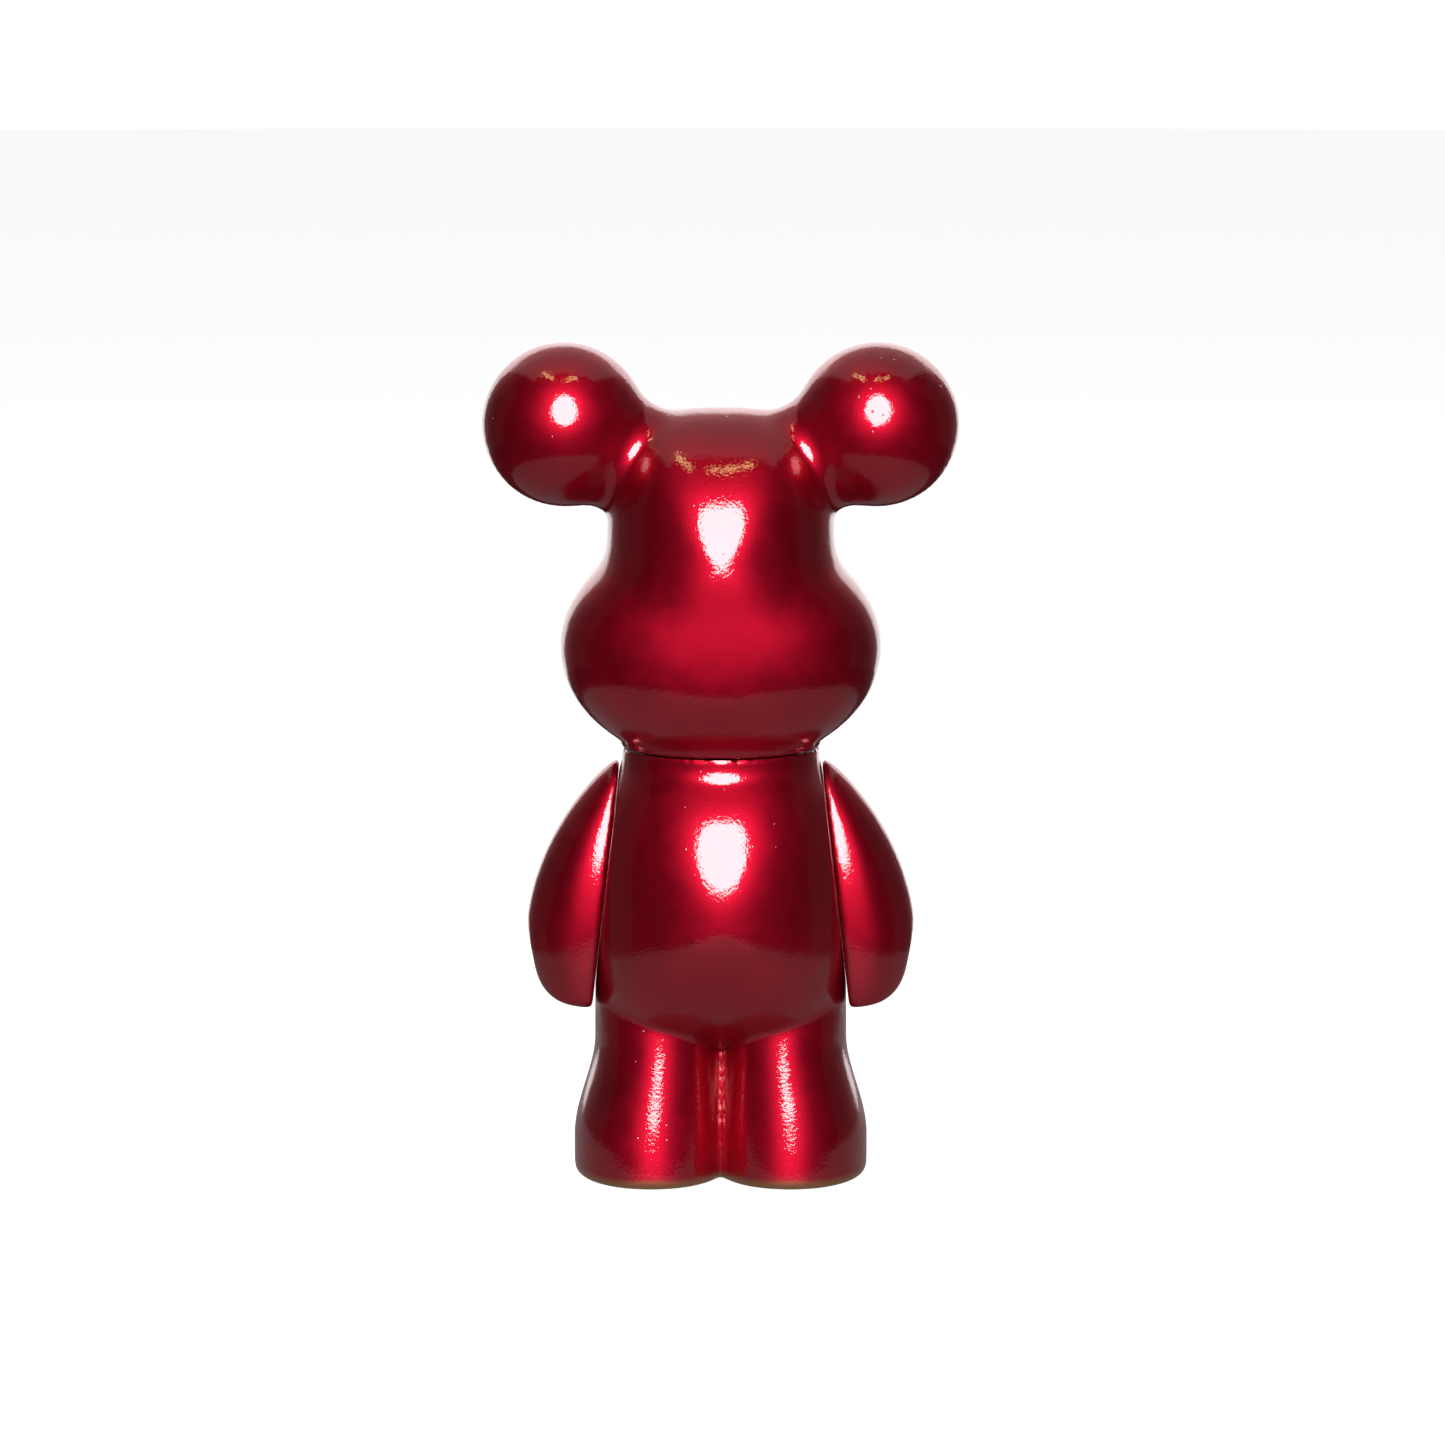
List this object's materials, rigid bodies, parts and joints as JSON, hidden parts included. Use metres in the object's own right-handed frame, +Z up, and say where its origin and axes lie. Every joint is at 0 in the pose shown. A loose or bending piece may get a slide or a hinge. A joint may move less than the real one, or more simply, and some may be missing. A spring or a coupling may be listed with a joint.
{
  "type": "articulated bear figurine",
  "caption": "Standing round-eared toy bear in deep red metallic lacquer, with a turning head and swinging arms on hidden joints.",
  "frame": {"origin": "centre of the base, on the surface that the figure stands on", "axes": "+Z up, -Y the way the face looks, +X the figure's own left"},
  "size_m": [0.1588, 0.1129, 0.2791],
  "materials": {
    "lacquer": "deep red metallic lacquer under clear coat",
    "moulded_black": "moulded nylon",
    "zinc_steel": "zinc plated",
    "rubber_pad": "matt foam rubber"
  },
  "bodies": {
    "body": {"body_shell": "lacquer", "neck_spool": "moulded_black", "neck_snap_ring": "zinc_steel", "shoulder_bush_left": "moulded_black", "shoulder_bush_right": "moulded_black", "base_plate": "moulded_black", "base_screws": "zinc_steel", "sole_pad": "rubber_pad"},
    "head": {"head_shell": "lacquer", "neck_cup": "moulded_black", "ear_left": "lacquer", "ear_right": "lacquer", "nose": "lacquer", "eye_left": "lacquer", "eye_right": "lacquer"},
    "arm_left": {"arm_left": "lacquer", "shoulder_plug_left": "moulded_black", "shoulder_clip_left": "zinc_steel"},
    "arm_right": {"arm_right": "lacquer", "shoulder_plug_right": "moulded_black", "shoulder_clip_right": "zinc_steel"}
  },
  "joints": [
    {"name": "head_turn", "type": "hinge", "parent": "body", "child": "head", "pos_m": [0, 0, 0.15], "axis": [0, 0, 1], "continuous": true},
    {"name": "arm_left_swing", "type": "hinge", "parent": "body", "child": "arm_left", "pos_m": [0.03106, 0, 0.11743], "axis": [0.9936, 0, 0.1132], "range_deg": [-90, 60]},
    {"name": "arm_right_swing", "type": "hinge", "parent": "body", "child": "arm_right", "pos_m": [-0.03106, 0, 0.11743], "axis": [0.9936, 0, -0.1132], "range_deg": [-90, 60]}
  ]
}
